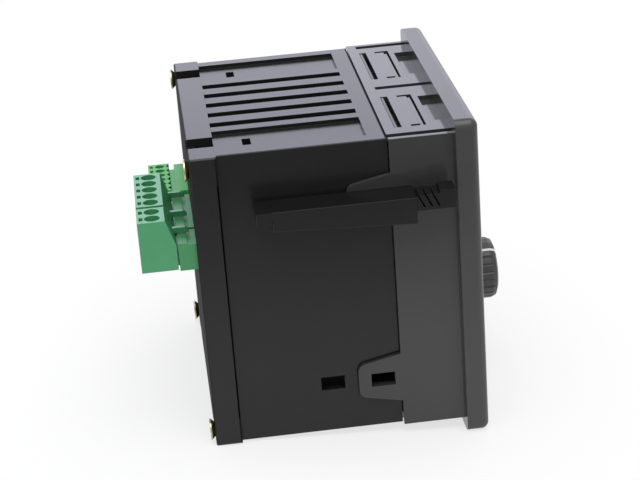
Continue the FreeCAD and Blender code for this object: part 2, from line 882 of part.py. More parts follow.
# Circuit boards and the parts on them
def make_front_board():
    body = new_body("front_board")
    outline = centred((sleeve_inner_x - s.board_margin) * 2, (sleeve_inner_z - s.board_margin) * 2)
    holes = [square(*place, s.stake_pin + s.loose_fit) for place in stake_places]
    add(body, "front", [outline] + holes, s.front_board_at, front_board_rear)
    return body


def make_main_board():
    body = new_body("main_board")
    half = housing_inner_x - s.slide_fit
    outline = rect(-half, half, main_board_base, main_board_top)
    front = front_board_rear + s.stake_proud + s.loose_fit
    add(body, "front", [outline], front, terminal_board_front)
    return body


def make_terminal_board():
    body = new_body("terminal_board")
    half = s.terminal_board_width / 2
    outline = rect(-half, half, main_board_top, s.terminal_board_top)
    add(body, "front", [outline], terminal_board_front, terminal_board_rear)
    return body


def make_transformer_core():
    body = new_body("transformer_core")
    lamination = rect(core_left, core_right, main_board_top, main_board_top + s.core_height)
    left_space = rect(core_left + s.core_window, core_left + s.core_window * 2, coil_base, coil_top)
    right_space = rect(core_right - s.core_window * 2, core_right - s.core_window, coil_base, coil_top)
    add(body, "front", [lamination, left_space, right_space], core_front, core_front + s.core_length)
    return body


def make_transformer_coil():
    body = new_body("transformer_coil")
    core_rear = core_front + s.core_length
    winding = rect(core_left + s.core_window, core_right - s.core_window, coil_base, coil_top)
    limb = rect(core_left + s.core_window * 2, core_right - s.core_window * 2, coil_base, coil_top)
    add(body, "front", [winding], core_front - s.core_window, core_rear + s.core_window)
    cut(body, "front", [limb], core_front, core_rear)
    return body


def make_relay():
    body = new_body("relay")
    left = s.relay_offset - s.relay_width / 2
    front = s.relay_at - s.relay_length / 2
    case = rect(left, left + s.relay_width, front, front + s.relay_length)
    add(body, "top", [case], main_board_top, main_board_top + s.relay_height)
    return body


def make_capacitor():
    body = new_body("capacitor")
    top = main_board_top + s.capacitor_height
    can = circle(s.capacitor_offset, s.capacitor_at, s.capacitor_diameter)
    add(body, "top", [can], main_board_top, top)
    soften(body, s.capacitor_round, lambda spot, along: near(spot.z, top), "Chamfer")
    return body


# Terminals: headers on the terminal board, their pins and the plugs in them
def pin_outline(term, pole, spread):
    middle = term.first + term.pitch * pole
    half = s.pin_side / 2 + spread
    rise = (term.base + term.top) / 2
    return rect(middle - half, middle + half, rise - half, rise + half)


def cut_row(body, term, plane, outline, low, high):
    hole = cut(body, plane, [outline], low, high)
    repeat(body, hole, term.pitch, term.count)


def make_header(term):
    body = new_body(f"header_{term.label}")
    floor = terminal_board_rear + s.header_floor
    wall = s.header_wall
    block = rect(term.left, term.right, term.base, term.top)
    cavity = rect(term.left + wall, term.right - wall, term.base + wall, term.top - wall)
    add(body, "front", [block], terminal_board_rear, term.header_rear)
    cut(body, "front", [cavity], floor, term.header_rear)
    cut_row(body, term, "front", pin_outline(term, 0, ZERO), terminal_board_rear, floor)
    if term.rib_poles:
        latch = rect(term.header_rear - s.latch_length, term.header_rear, term.top, term.crown)
        add(body, "side", [latch], term.left, term.right)
    return body


def make_pin(term, pole):
    body = new_body(f"header_{term.label}_pin_{pole + 1}")
    pin = pin_outline(term, pole, ZERO)
    add(body, "front", [pin], terminal_board_rear, terminal_board_rear + s.pin_reach)
    return body


def plug_profile(term):
    if term.pitch_name == "small":
        return rect(term.plug_front, term.plug_rear, term.plug_base, term.plug_top)
    return [
        (term.plug_front, term.plug_base), (term.plug_rear, term.plug_base), (term.plug_rear, term.plug_top),
        (term.plug_front + s.plug_slope, term.plug_top), (term.plug_front, term.plug_top - s.plug_shoulder),
    ]


def add_ribs(body, term):
    base = term.crown + s.loose_fit
    ridge = base + s.rib_height
    rear = term.plug_front + s.plug_slope / 2
    front = term.plug_front - s.rib_reach
    bend = s.rib_round * ARC_MIDDLE
    profile = [
        (rear, base), (rear, ridge), (front + s.rib_round, ridge), (front + bend, ridge - bend),
        (front, ridge - s.rib_round), (front, base),
    ]
    for pole in term.rib_poles:
        middle = term.first + term.pitch * (pole - 1)
        add(body, "side", [profile], middle - s.rib_width / 2, middle + s.rib_width / 2)


def cut_openings(body, term):
    top = term.plug_top
    rear = term.plug_rear
    well_floor = top - family(term, "well_depth")
    well = circle(term.first, rear - family(term, "well_setback"), family(term, "well"))
    cut_row(body, term, "top", well, well_floor, top)
    entry_low = term.plug_base + family(term, "entry_rise")
    entry_high = entry_low + family(term, "entry_height")
    half_entry = family(term, "entry_width") / 2
    entry = rect(term.first - half_entry, term.first + half_entry, entry_low, entry_high)
    cut_row(body, term, "front", entry, rear - family(term, "entry_depth"), rear)
    half_probe = family(term, "probe_width") / 2
    probe_rear = rear - family(term, "probe_setback")
    probe_front = probe_rear - family(term, "probe_length")
    probe = rect(term.first - half_probe, term.first + half_probe, probe_front, probe_rear)
    cut_row(body, term, "top", probe, well_floor, top)


def cut_teeth(body, term):
    half = (term.pitch - s.tooth_land) / 2
    notch = [
        (term.first - half, term.plug_front),
        (term.first, term.plug_front + s.tooth_depth),
        (term.first + half, term.plug_front),
    ]
    cut_row(body, term, "top", notch, term.plug_top - s.tooth_drop, term.plug_top)


def make_plug(term):
    body = new_body(f"plug_{term.label}")
    inset = s.header_wall + s.loose_fit
    nose_front = terminal_board_rear + s.header_floor + s.loose_fit
    nose = rect(term.left + inset, term.right - inset, term.base + inset, term.top - inset)
    socket_end = terminal_board_rear + s.pin_reach + s.loose_fit
    add(body, "side", [plug_profile(term)], term.left, term.right)
    add(body, "front", [nose], nose_front, term.plug_front)
    cut_row(body, term, "front", pin_outline(term, 0, s.loose_fit), nose_front, socket_end)
    cut_openings(body, term)
    if term.pitch_name == "small":
        cut_teeth(body, term)
    add_ribs(body, term)
    return body


# Side clips: hollow bar with two hooks, a folded spring with a pressing tip, and a grip
def clip_outline(wall):
    top = clip_top - wall
    front = s.clip_front + wall
    rear = clip_rear - wall
    front_low = clip_top - s.clip_front_height + wall
    rear_low = clip_top - s.clip_rear_height + wall
    return [(front, front_low), (rear, rear_low), (rear, top), (front, top)]


def add_hooks(body, x_side):
    toe_outer = housing_inner_x - s.slide_fit
    toe_inner = toe_outer - s.hook_toe_depth
    low = s.tab_upper - s.hook_height / 2
    high = s.tab_upper + s.hook_height / 2
    bearings = [front + s.slot_length - s.slide_fit for front in slot_fronts]
    shanks = [rect(bearing - s.hook_length, bearing, low, high) for bearing in bearings]
    add(body, "side", shanks, *on_side(x_side, toe_inner, clip_outer - s.clip_wall))
    toes = [rect(bearing - s.hook_length, bearing + s.hook_toe, low, high) for bearing in bearings]
    add(body, "side", toes, *on_side(x_side, toe_inner, toe_outer))


def spring_slots(low, top):
    """Leaning slots, open above, that leave thin leaves joined below."""
    floor = low + s.spring_web
    half = s.spring_slot / 2
    slots = []
    for index in range(3):
        upper = s.clip_front - half - s.spring_pitch * index
        lower = upper - s.spring_lean
        slots.append([(lower - half, floor), (lower + half, floor), (upper + half, top), (upper - half, top)])
    return slots


def make_clip(label, x_side):
    body = new_body(label)
    outer_face = clip_outer * x_side
    add(body, "side", [clip_outline(ZERO)], *on_side(x_side, clip_inner, clip_outer))
    soften(body, s.clip_round, lambda place, along: near(place.x, outer_face))
    cut(body, "side", [clip_outline(s.clip_wall)], *on_side(x_side, clip_inner, clip_outer - s.clip_wall))
    add_hooks(body, x_side)
    tip_rear = s.clip_front - s.spring_length
    tip_top = clip_top + s.tip_rise
    low = tip_top - s.tip_height
    top = clip_top + s.spring_rise
    spring_width = on_side(x_side, clip_outer - s.spring_width, clip_outer)
    add(body, "side", [rect(tip_rear, s.clip_front, low, top)], *spring_width)
    slot_depth = on_side(x_side, clip_outer - s.spring_slot_depth, clip_outer)
    cut(body, "side", spring_slots(low, top), *slot_depth)
    add(body, "side", [rect(tip_rear - s.tip_length, tip_rear, low, tip_top)], *spring_width)
    grip_rear = clip_rear + s.grip_length
    grip = rect(clip_rear, grip_rear, clip_top - s.grip_height, clip_top)
    add(body, "side", [grip], *on_side(x_side, clip_inner, clip_outer))
    soften(body, s.clip_round, lambda place, along: near(place.y, grip_rear) and near(place.x, outer_face))
    return body


def make_all():
    pieces = [make_front_housing(), make_rear_housing(), make_rear_cover()]
    pieces += [make_cover_screw(number, place) for number, place in enumerate(screw_places, start=1)]
    pieces += [make_display_window(), make_display_module()]
    pieces += [make_lamp(number, place) for number, place in enumerate(lamp_places, start=1)]
    pieces += [make_potentiometer(), make_potentiometer_nut(), make_potentiometer_shaft()]
    pieces += [make_knob(), make_knob_pointer()]
    pieces += [make_front_board(), make_main_board(), make_terminal_board()]
    pieces += [make_transformer_core(), make_transformer_coil(), make_relay(), make_capacitor()]
    for term in terminals:
        pieces += [make_header(term), make_plug(term)]
        pieces += [make_pin(term, pole) for pole in range(int(term.count.value))]
    pieces += [make_clip("clip_left", -1), make_clip("clip_right", 1)]
    return pieces


def check_and_write(pieces):
    doc.recompute()
    for thing in doc.Objects:
        if {"Invalid", "Error"} & set(thing.State):
            raise RuntimeError(f"{thing.Label} did not build")
    for piece in pieces:
        if piece.Shape.isNull() or not piece.Shape.isValid() or len(piece.Shape.Solids) != 1:
            raise RuntimeError(f"{piece.Label} is not one sound solid")
    os.makedirs("parts", exist_ok=True)
    for piece in pieces:
        piece.Shape.exportStep(os.path.join("parts", f"{piece.Label}.step"))


check_and_write(make_all())
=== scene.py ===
import math

import bmesh
import bpy
from mathutils import Matrix, Vector


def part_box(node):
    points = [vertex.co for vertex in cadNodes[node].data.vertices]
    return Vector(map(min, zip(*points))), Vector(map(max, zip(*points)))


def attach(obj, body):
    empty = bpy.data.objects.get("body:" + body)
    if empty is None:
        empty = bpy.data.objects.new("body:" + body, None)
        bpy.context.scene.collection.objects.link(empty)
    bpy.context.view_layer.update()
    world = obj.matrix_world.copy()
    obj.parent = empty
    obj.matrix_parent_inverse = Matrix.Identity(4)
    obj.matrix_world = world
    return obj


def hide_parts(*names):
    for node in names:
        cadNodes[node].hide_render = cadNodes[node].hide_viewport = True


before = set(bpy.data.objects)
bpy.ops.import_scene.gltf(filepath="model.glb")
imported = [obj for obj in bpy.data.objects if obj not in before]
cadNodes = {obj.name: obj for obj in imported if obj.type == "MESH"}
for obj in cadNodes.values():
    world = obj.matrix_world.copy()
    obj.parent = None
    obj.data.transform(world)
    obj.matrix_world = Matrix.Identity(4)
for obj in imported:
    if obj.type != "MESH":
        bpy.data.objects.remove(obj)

mm = 0.001
quarterTurn = math.pi / 2
white = (1, 1, 1, 1)
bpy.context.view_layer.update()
print("frame loaded:", len(cadNodes), "nodes")


# Shader maths: a wire is a node's output, and sums on wires add Math nodes
class Wire:
    def __init__(self, finish, socket):
        self.finish = finish
        self.socket = socket

    def combine(self, operation, first, second):
        return self.finish.node("Math", {"operation": operation}, {0: first, 1: second})

    def __add__(self, other):
        return self.combine("ADD", self, other)

    def __sub__(self, other):
        return self.combine("SUBTRACT", self, other)

    def __rsub__(self, other):
        return self.combine("SUBTRACT", other, self)

    def __mul__(self, other):
        return self.combine("MULTIPLY", self, other)

    __radd__ = __add__


class Finish:
    def __init__(self, name, fixed):
        self.material = bpy.data.materials.new(name)
        self.material.use_nodes = True
        self.tree = self.material.node_tree
        self.shader = self.tree.nodes["Principled BSDF"]
        for socketName, value in fixed.items():
            self.shader.inputs[socketName].default_value = value

    def node(self, kind, settings, sockets, output=0):
        made = self.tree.nodes.new("ShaderNode" + kind)
        for setting, value in settings.items():
            setattr(made, setting, value)
        for place, value in sockets.items():
            self.feed(made.inputs[place], value)
        return Wire(self, made.outputs[output])

    def feed(self, socket, value):
        if isinstance(value, Wire):
            self.tree.links.new(value.socket, socket)
        else:
            socket.default_value = value

    def drive(self, **wires):
        for socketName, wire in wires.items():
            self.feed(self.shader.inputs[socketName.replace("_", " ")], wire)

    def objectCoords(self):
        return self.node("TexCoord", {}, {}, "Object")

    def trueNormal(self):
        return self.node("NewGeometry", {}, {}, "Normal")

    def along(self, vector, axis):
        return self.node("SeparateXYZ", {}, {0: vector}, axis)

    def noise(self, size, detail=2.0, coords=None):
        sockets = {"Vector": coords or self.objectCoords(), "Scale": 1 / size, "Detail": detail}
        return self.node("TexNoise", {}, sockets, "Fac")

    def ramp(self, value, start, end, top=1.0, shape="LINEAR"):
        limits = {"Value": value, "From Min": start, "From Max": end, "To Min": 0.0, "To Max": top}
        return self.node("MapRange", {"interpolation_type": shape}, limits)

    def bump(self, strength, depth, height, **more):
        return self.node("Bump", {}, {"Strength": strength, "Distance": depth, "Height": height, **more})

    def blend(self, mask, first, second):
        return self.node("Mix", {"data_type": "RGBA"}, {"Factor": mask, 6: first, 7: second}, 2)

    def tint(self, mask, dark, pale):
        return self.blend(mask, (*dark, 1), (*pale, 1))

    def mottled(self, mask, color, spread):
        return self.tint(mask, scaled(color, 1 - spread), scaled(color, 1 + spread))


def scaled(color, factor):
    return tuple(min(1, channel * factor) for channel in color)


noiseMiddle = 0.5


# Moulded plastic: soft mottling, a fine eroded grain and softened edges, lightened both as worn plastic and
# as a painted highlight; zones along Y have their own look, and some are painted shade in gaps
def levelness(finish):
    # 0 on a wall and 1 on a flat top
    up = finish.along(finish.trueNormal(), "Z")
    return up * up


def zoneMask(finish, zone):
    along = finish.along(finish.objectCoords(), "Y")
    mask = finish.ramp(along, zone["outside"] * mm, zone["inside"] * mm)
    if "endOutside" in zone:
        mask = mask * finish.ramp(along, zone["endOutside"] * mm, zone["endInside"] * mm)
    if "faces" in zone:
        level = levelness(finish)
        mask = mask * (level if zone["faces"] == "flat" else 1 - level)
    return mask


def mouldedPlastic(name, plan):
    finish = Finish(name, {"IOR": plan["ior"], "Specular IOR Level": plan["specular"]})
    grain = finish.noise(plan["grain"] * mm, plan["detail"])
    cloud = finish.noise(plan["cloud"] * mm, plan["detail"])
    edgeNormal = finish.node("Bevel", {"samples": plan["edgeSamples"]}, {"Radius": plan["edge"] * mm})
    facing = finish.node("VectorMath", {"operation": "DOT_PRODUCT"}, {
        0: edgeNormal, 1: finish.trueNormal()}, "Value")
    edgeMask = finish.ramp(facing, plan["flatFacing"], plan["edgeFacing"])
    color = finish.mottled(cloud, plan["color"], plan["mottle"])
    rough = plan["roughness"] + (cloud - noiseMiddle) * plan["roughSpread"]
    for zone in plan["zones"]:
        inZone = zoneMask(finish, zone)
        color = finish.blend(inZone, color, finish.mottled(cloud, zone["color"], plan["mottle"]))
        rough = rough + inZone * (zone["roughness"] - plan["roughness"])
    if "slantDull" in plan:
        # four times this product is 1 on a face that leans at 45 degrees, as a chamfer does
        level = levelness(finish)
        rough = rough + level * (1 - level) * (4 * plan["slantDull"])
    # painted highlight and wear: the edge mask lightens the colour along edges, partly as worn plastic and
    # partly as a painted highlight
    edgeWearAndHighlightColor = (*scaled(plan["color"], plan["wornBrightness"]), 1)
    wearAndHighlightBlend = finish.blend(edgeMask * plan["wear"], color, edgeWearAndHighlightColor)
    bump = finish.bump(plan["grainStrength"], plan["grainDepth"] * mm, grain, Normal=edgeNormal)
    finish.drive(Base_Color=wearAndHighlightBlend, Roughness=rough - edgeMask * plan["edgeShine"], Normal=bump)
    return finish.material


# Where the zones lie along Y, in millimetres: seamAt is where the rear housing begins behind the sleeve
bezelBack = 0.0
seamAt = 18.45
coverFront, coverBack = (corner[1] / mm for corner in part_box("rear_cover"))
# painted shade: near-black, very rough strips on the seam's top faces and on the walls of the cover's
# groove, where the gaps between parts fall into shade
gapPaintedShade = dict(color=(0.002, 0.002, 0.002), roughness=0.95)
bezelZone = dict(outside=bezelBack + 0.4, inside=bezelBack - 0.4, color=(0.052, 0.052, 0.0532),
                 roughness=0.3)
seamZone = dict(outside=seamAt + 0.5, inside=seamAt + 0.35, endOutside=seamAt - 0.25,
                endInside=seamAt - 0.15, faces="flat", **gapPaintedShade)
grooveZone = dict(outside=coverFront + 0.55, inside=coverFront + 0.45, faces="upright", **gapPaintedShade)
rearFaceZone = dict(outside=coverBack - 0.6, inside=coverBack - 0.1, color=(0.012, 0.012, 0.012),
                    roughness=0.9)

# A plastic takes from plasticBase what it doesn't say itself, and the other families do the same
plasticBase = dict(ior=1.5, specular=0.5, detail=3, roughSpread=0.1, grain=0.2, grainDepth=0.015,
                   grainStrength=0.4, edge=0.12, edgeSamples=4, flatFacing=0.999, edgeFacing=0.8,
                   edgeShine=0.05, wear=0.15, wornBrightness=2.2, zones=[])
plastics = {
    "casePlastic": dict(color=(0.0135, 0.0133, 0.0143), roughness=0.2, roughSpread=0.05, specular=0.32,
                        grain=0.22, cloud=14, mottle=0.12, wear=0.3, zones=[seamZone]),
    "coverPlastic": dict(color=(0.0145, 0.0143, 0.0153), roughness=0.22, roughSpread=0.05, specular=0.32,
                         grain=0.22, grainDepth=0.02, cloud=14, mottle=0.12, wear=0.3,
                         zones=[rearFaceZone, grooveZone]),
    "frontPlastic": dict(color=(0.043, 0.043, 0.0442), roughness=0.11, roughSpread=0.03, specular=0.46,
                         grain=0.25, grainDepth=0.008, grainStrength=0.3, cloud=16, mottle=0.08, wear=0.2,
                         zones=[bezelZone]),
    "clipPlastic": dict(color=(0.0075, 0.0075, 0.008), roughness=0.2, roughSpread=0.06, specular=0.45,
                        cloud=9, mottle=0.12, edge=0.02, wear=0.0, slantDull=0.7),
    "knobPlastic": dict(color=(0.058, 0.058, 0.059), roughness=0.42, grain=0.18, grainDepth=0.02, cloud=6,
                        mottle=0.1, wear=0.3),
    "pointerWhite": dict(color=(0.86, 0.86, 0.84), roughness=0.45, grain=0.15, grainDepth=0.01, cloud=3,
                         mottle=0.03, edge=0.1, wear=0.0),
    "plugGreen": dict(color=(0.064, 0.32, 0.138), roughness=0.33, specular=0.6, grain=0.16, cloud=5,
                      mottle=0.06),
    "headerGreen": dict(color=(0.055, 0.27, 0.1), roughness=0.36, specular=0.55, grain=0.16, cloud=5,
                        mottle=0.06),
    "plugBrightGreen": dict(color=(0.066, 0.43, 0.088), roughness=0.4, specular=0.36, grain=0.16, cloud=5,
                            mottle=0.06, edge=0.1),
    "relayPlastic": dict(color=(0.02, 0.06, 0.2), roughness=0.35, cloud=7, mottle=0.08, edge=0.3, wear=0.2),
    "displayBlack": dict(color=(0.02, 0.02, 0.02), roughness=0.5, cloud=7, mottle=0.08, edge=0.2, wear=0.1),
    "printWhite": dict(color=(0.8, 0.8, 0.78), roughness=0.5, grain=0.12, grainDepth=0.01, grainStrength=0.3,
                       cloud=3, mottle=0.05, edge=0.02, wear=0.0),
    "segmentGrey": dict(color=(0.2, 0.13, 0.12), roughness=0.4, roughSpread=0.08, grainDepth=0.01,
                        grainStrength=0.3, cloud=4, mottle=0.05, edge=0.05, wear=0.0),
}


# Metal: drawn or plated, with faint brushing and dulled patches
def platedMetal(name, plan):
    finish = Finish(name, {"Metallic": 1.0})
    stretched = finish.node("Mapping", {}, {"Vector": finish.objectCoords(), "Scale": plan["brush"]})
    lines = finish.noise(plan["lineSize"] * mm, coords=stretched)
    patches = finish.noise(plan["patchSize"] * mm)
    color = finish.tint(patches, scaled(plan["color"], plan["patchShade"]), plan["color"])
    rough = plan["roughness"] + (patches - noiseMiddle) * plan["roughSpread"]
    bump = finish.bump(plan["lineStrength"], plan["lineDepth"] * mm, lines)
    finish.drive(Base_Color=color, Roughness=rough, Normal=bump)
    return finish.material


metalBase = dict(lineSize=0.2, lineStrength=0.25, lineDepth=0.02, patchSize=1.6, patchShade=0.82,
                 roughSpread=0.2)
metals = {
    "yellowZinc": dict(color=(0.68, 0.6, 0.4), roughness=0.36, brush=(1, 6, 1)),
    "nickel": dict(color=(0.62, 0.6, 0.56), roughness=0.3, brush=(1, 8, 1)),
    "tinnedPin": dict(color=(0.7, 0.7, 0.68), roughness=0.32, brush=(1, 6, 1)),
    "capacitorSleeve": dict(color=(0.05, 0.06, 0.1), roughness=0.4, brush=(1, 1, 4)),
}


# Solder mask over copper tracks
def boardFinish(name, plan):
    finish = Finish(name, {"IOR": plan["ior"]})
    weave = finish.noise(plan["weave"] * mm)
    tracks = finish.node("TexBrick", {"offset": plan["trackShift"]}, {
        "Vector": finish.objectCoords(), "Scale": 1 / (plan["tracks"] * mm), "Mortar Size": plan["trackGap"],
        "Brick Width": plan["trackLength"], "Row Height": plan["trackRow"]}, "Fac")
    color = finish.tint(tracks, plan["color"], scaled(plan["color"], plan["trackBrightness"]))
    rough = plan["roughness"] + weave * plan["weaveRoughness"]
    bump = finish.bump(plan["strength"], plan["depth"] * mm, weave + tracks)
    finish.drive(Base_Color=color, Roughness=rough, Normal=bump)
    return finish.material


boardBase = dict(ior=1.5, weave=0.5, tracks=3.0, trackGap=0.08, trackLength=2.4, trackRow=0.6,
                 trackShift=0.35, trackBrightness=1.5, roughness=0.35, weaveRoughness=0.15, strength=0.3,
                 depth=0.03)
boards = {"boardGreen": dict(color=(0.02, 0.12, 0.05))}


# Wound tape or laminations: bands across one direction
def bandedFinish(name, plan):
    finish = Finish(name, {"Metallic": plan["metallic"], "IOR": plan["ior"]})
    bands = finish.node("TexWave", {"bands_direction": plan["direction"]}, {
        "Vector": finish.objectCoords(), "Scale": plan["waveScale"] / (plan["band"] * mm),
        "Distortion": plan["waver"]}, "Fac")
    speck = finish.noise(plan["speck"] * mm)
    color = finish.tint(bands, scaled(plan["color"], plan["shade"]), plan["color"])
    rough = plan["roughness"] + speck * plan["speckRoughness"]
    bump = finish.bump(plan["strength"], plan["depth"] * mm, bands)
    finish.drive(Base_Color=color, Roughness=rough, Normal=bump)
    return finish.material


# at this scale a wave texture repeats about once in a unit of length
bandBase = dict(waveScale=0.314, ior=1.45, metallic=0.0, waver=0.4, shade=0.6, speck=0.8, roughness=0.45,
                speckRoughness=0.2, strength=0.4, depth=0.05)
windings = {
    "coreIron": dict(color=(0.2, 0.2, 0.21), direction="Y", band=0.5, metallic=0.8),
    "coilTape": dict(color=(0.6, 0.38, 0.06), direction="Z", band=3.0),
}


# Clear tinted plastic of lamps and the display pane
def tintedClear(name, plan):
    finish = Finish(name, {"IOR": plan["ior"], "Alpha": plan["alpha"], "Coat Weight": plan["coat"],
                           "Coat Roughness": plan["coatRoughness"]})
    haze = finish.noise(plan["haze"] * mm)
    color = finish.tint(haze, scaled(plan["color"], plan["shade"]), plan["color"])
    finish.drive(Base_Color=color, Roughness=plan["roughness"] + haze * plan["hazeRoughness"])
    return finish.material


clearBase = dict(ior=1.49, coat=0.3, coatRoughness=0.05, shade=0.85, roughness=0.06, hazeRoughness=0.06)
clears = {
    "displayPane": dict(color=(0.05, 0.012, 0.012), alpha=0.62, haze=8),
    "lampRed": dict(color=(0.5, 0.02, 0.015), alpha=0.9, haze=1),
    "lampGreen": dict(color=(0.03, 0.4, 0.05), alpha=0.9, haze=1),
}

families = (
    (mouldedPlastic, plasticBase, plastics),
    (platedMetal, metalBase, metals),
    (boardFinish, boardBase, boards),
    (bandedFinish, bandBase, windings),
    (tintedClear, clearBase, clears),
)
finishes = {}
for makeFinish, base, plans in families:
    for name, plan in plans.items():
        finishes[name] = makeFinish(name, {**base, **plan})
print("finishes made:", len(finishes))

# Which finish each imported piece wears
wears = {
    "front_housing": "frontPlastic", "rear_housing": "casePlastic", "rear_cover": "coverPlastic",
    "clip_left": "clipPlastic", "clip_right": "clipPlastic",
    "setpoint_knob": "knobPlastic", "knob_pointer": "pointerWhite",
    "potentiometer": "nickel", "potentiometer_nut": "nickel", "potentiometer_shaft": "nickel",
    "display_window": "displayPane", "display_module": "displayBlack",
    "status_lamp_1": "lampRed", "status_lamp_2": "lampGreen",
    "front_board": "boardGreen", "main_board": "boardGreen", "terminal_board": "boardGreen",
    "transformer_core": "coreIron", "transformer_coil": "coilTape",
    "relay": "relayPlastic", "capacitor": "capacitorSleeve",
    "plug_2": "plugGreen", "plug_5": "plugGreen", "plug_6": "plugBrightGreen",
    "header_2": "headerGreen", "header_5": "headerGreen", "header_6": "plugBrightGreen",
}
for name, node in cadNodes.items():
    if name.startswith("cover_screw"):
        finishName = "yellowZinc"
    elif "_pin_" in name:
        finishName = "tinnedPin"
    else:
        finishName = wears[name]
    for slot in node.material_slots:
        slot.material = finishes[finishName]
print("finishes put on the packed pieces")


# Mesh helpers
def newObject(name, data):
    piece = bpy.data.objects.new(name, data)
    bpy.context.scene.collection.objects.link(piece)
    return piece


def plainMesh(piece):
    # what the modifiers or the text of a piece make
    bpy.context.view_layer.update()
    graph = bpy.context.evaluated_depsgraph_get()
    return bpy.data.meshes.new_from_object(piece.evaluated_get(graph))


def pointMesh(name, points):
    mesh = bpy.data.meshes.new(name)
    mesh.from_pydata(points, [], [])
    return mesh


class NodeTree:
    def __init__(self, name, sizes):
        self.tree = bpy.data.node_groups.new(name, "GeometryNodeTree")
        self.tree.interface.new_socket("Geometry", in_out="OUTPUT", socket_type="NodeSocketGeometry")
        self.inputs = {}
        for label, kind in sizes.items():
            made = self.tree.interface.new_socket(label, in_out="INPUT", socket_type="NodeSocket" + kind)
            self.inputs[label] = made.identifier
        self.start = self.tree.nodes.new("NodeGroupInput")
        self.end = self.tree.nodes.new("NodeGroupOutput")

    def size(self, label):
        return self.start.outputs[label]

    def node(self, kind, settings, sockets, output=0):
        made = self.tree.nodes.new(kind)
        for setting, value in settings.items():
            setattr(made, setting, value)
        for place, value in sockets.items():
            socket = made.inputs[place]
            for single in value if isinstance(value, list) else [value]:
                if isinstance(single, bpy.types.NodeSocket):
                    self.tree.links.new(single, socket)
                else:
                    socket.default_value = single
        return made.outputs[output]

    def sum(self, operation, first, second):
        return self.node("ShaderNodeMath", {"operation": operation}, {0: first, 1: second})

    def vector(self, **parts):
        return self.node("ShaderNodeCombineXYZ", {}, parts)

    def block(self, size):
        return self.node("GeometryNodeMeshCube", {}, {"Size": size})

    def prism(self, sides, radius, depth):
        return self.node("GeometryNodeMeshCylinder", {"fill_type": "NGON"}, {
            "Vertices": sides, "Radius": radius, "Depth": depth})

    def without(self, shape, cutters):
        return self.node("GeometryNodeMeshBoolean", {"operation": "DIFFERENCE"}, {0: shape, 1: cutters})

    def close(self, geometry, material):
        real = self.node("GeometryNodeRealizeInstances", {}, {"Geometry": geometry})
        painted = self.node("GeometryNodeSetMaterial", {}, {"Geometry": real, "Material": material})
        self.tree.links.new(painted, self.end.inputs["Geometry"])


def grow(name, nodeTree, values, mesh=None):
    piece = newObject(name, mesh or bpy.data.meshes.new(name))
    modifier = piece.modifiers.new("shape", "NODES")
    modifier.node_group = nodeTree.tree
    for label, value in values.items():
        modifier[nodeTree.inputs[label]] = value
    grown = plainMesh(piece)
    piece.modifiers.clear()
    piece.data = grown
    return piece


# Clamps of the plugs, in two sizes
largeClamp = dict(pitch=5.08, headRadius=2.0, below=2.4, setback=4.3, cage=(3.5, 5.0, 4.2), wall=0.45,
                  rise=4.5, sunk=1.0)
smallClamp = dict(pitch=3.81, headRadius=1.2, below=1.8, setback=3.6, cage=(2.4, 3.6, 2.8), wall=0.35,
                  rise=3.0, sunk=0.8)
clampPlan = {
    "plug_2": dict(body="plug_two", poles=2, **largeClamp),
    "plug_5": dict(body="plug_five", poles=5, **largeClamp),
    "plug_6": dict(body="plug_six", poles=6, **smallClamp),
}


def rowAlongX(made, shape):
    step = made.vector(X=made.size("Pitch"))
    line = made.node("GeometryNodeMeshLine", {}, {
        "Count": made.size("Poles"), "Start Location": made.size("First"), "Offset": step})
    return made.node("GeometryNodeInstanceOnPoints", {}, {"Points": line, "Instance": shape})


def firstPole(plugName, plan, y, z):
    low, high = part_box(plugName)
    return ((low[0] + high[0]) / 2 - plan["pitch"] * mm * (plan["poles"] - 1) / 2, y, z)


# Clamp screws in the wells of the plugs: slotted heads on a line
clampHead = dict(sides=32, height=1.6, slotReach=3.0, slotShare=0.42, slotDepth=0.8, slotTurn=0.6)


def clampScrewTree():
    made = NodeTree("clampScrewRow", {
        "Poles": "Int", "Pitch": "Float", "Head Radius": "Float", "Head Height": "Float",
        "Slot Width": "Float", "Slot Depth": "Float", "First": "Vector"})
    head = made.prism(clampHead["sides"], made.size("Head Radius"), made.size("Head Height"))
    slot = made.block(made.vector(
        X=made.sum("MULTIPLY", made.size("Head Radius"), clampHead["slotReach"]),
        Y=made.size("Slot Width"), Z=made.sum("MULTIPLY", made.size("Slot Depth"), 2.0)))
    lift = made.vector(Z=made.sum("MULTIPLY", made.size("Head Height"), 0.5))
    turned = made.node("GeometryNodeTransform", {}, {
        "Geometry": slot, "Translation": lift, "Rotation": (0.0, 0.0, clampHead["slotTurn"])})
    made.close(rowAlongX(made, made.without(head, turned)), finishes["nickel"])
    return made


def makeClampScrews():
    tree = clampScrewTree()
    height = clampHead["height"] * mm
    for plugName, plan in clampPlan.items():
        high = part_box(plugName)[1]
        middle = high[2] - plan["below"] * mm - height / 2
        screws = grow("clampScrews_" + plugName, tree, {
            "Poles": plan["poles"], "Pitch": plan["pitch"] * mm, "Head Radius": plan["headRadius"] * mm,
            "Head Height": height, "Slot Width": plan["headRadius"] * clampHead["slotShare"] * mm,
            "Slot Depth": clampHead["slotDepth"] * mm,
            "First": firstPole(plugName, plan, high[1] - plan["setback"] * mm, middle)})
        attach(screws, plan["body"])


makeClampScrews()


# Clamp cages behind the wire entries: short square tubes of sheet metal
def clampCageTree():
    made = NodeTree("clampCageRow", {
        "Poles": "Int", "Pitch": "Float", "Size": "Vector", "Wall": "Float", "First": "Vector"})
    walls = made.sum("MULTIPLY", made.size("Wall"), -2.0)
    less = made.vector(X=walls, Y=made.size("Wall"), Z=walls)
    boreSize = made.node("ShaderNodeVectorMath", {"operation": "ADD"}, {0: made.size("Size"), 1: less})
    tube = made.without(made.block(made.size("Size")), made.block(boreSize))
    made.close(rowAlongX(made, tube), finishes["nickel"])
    return made


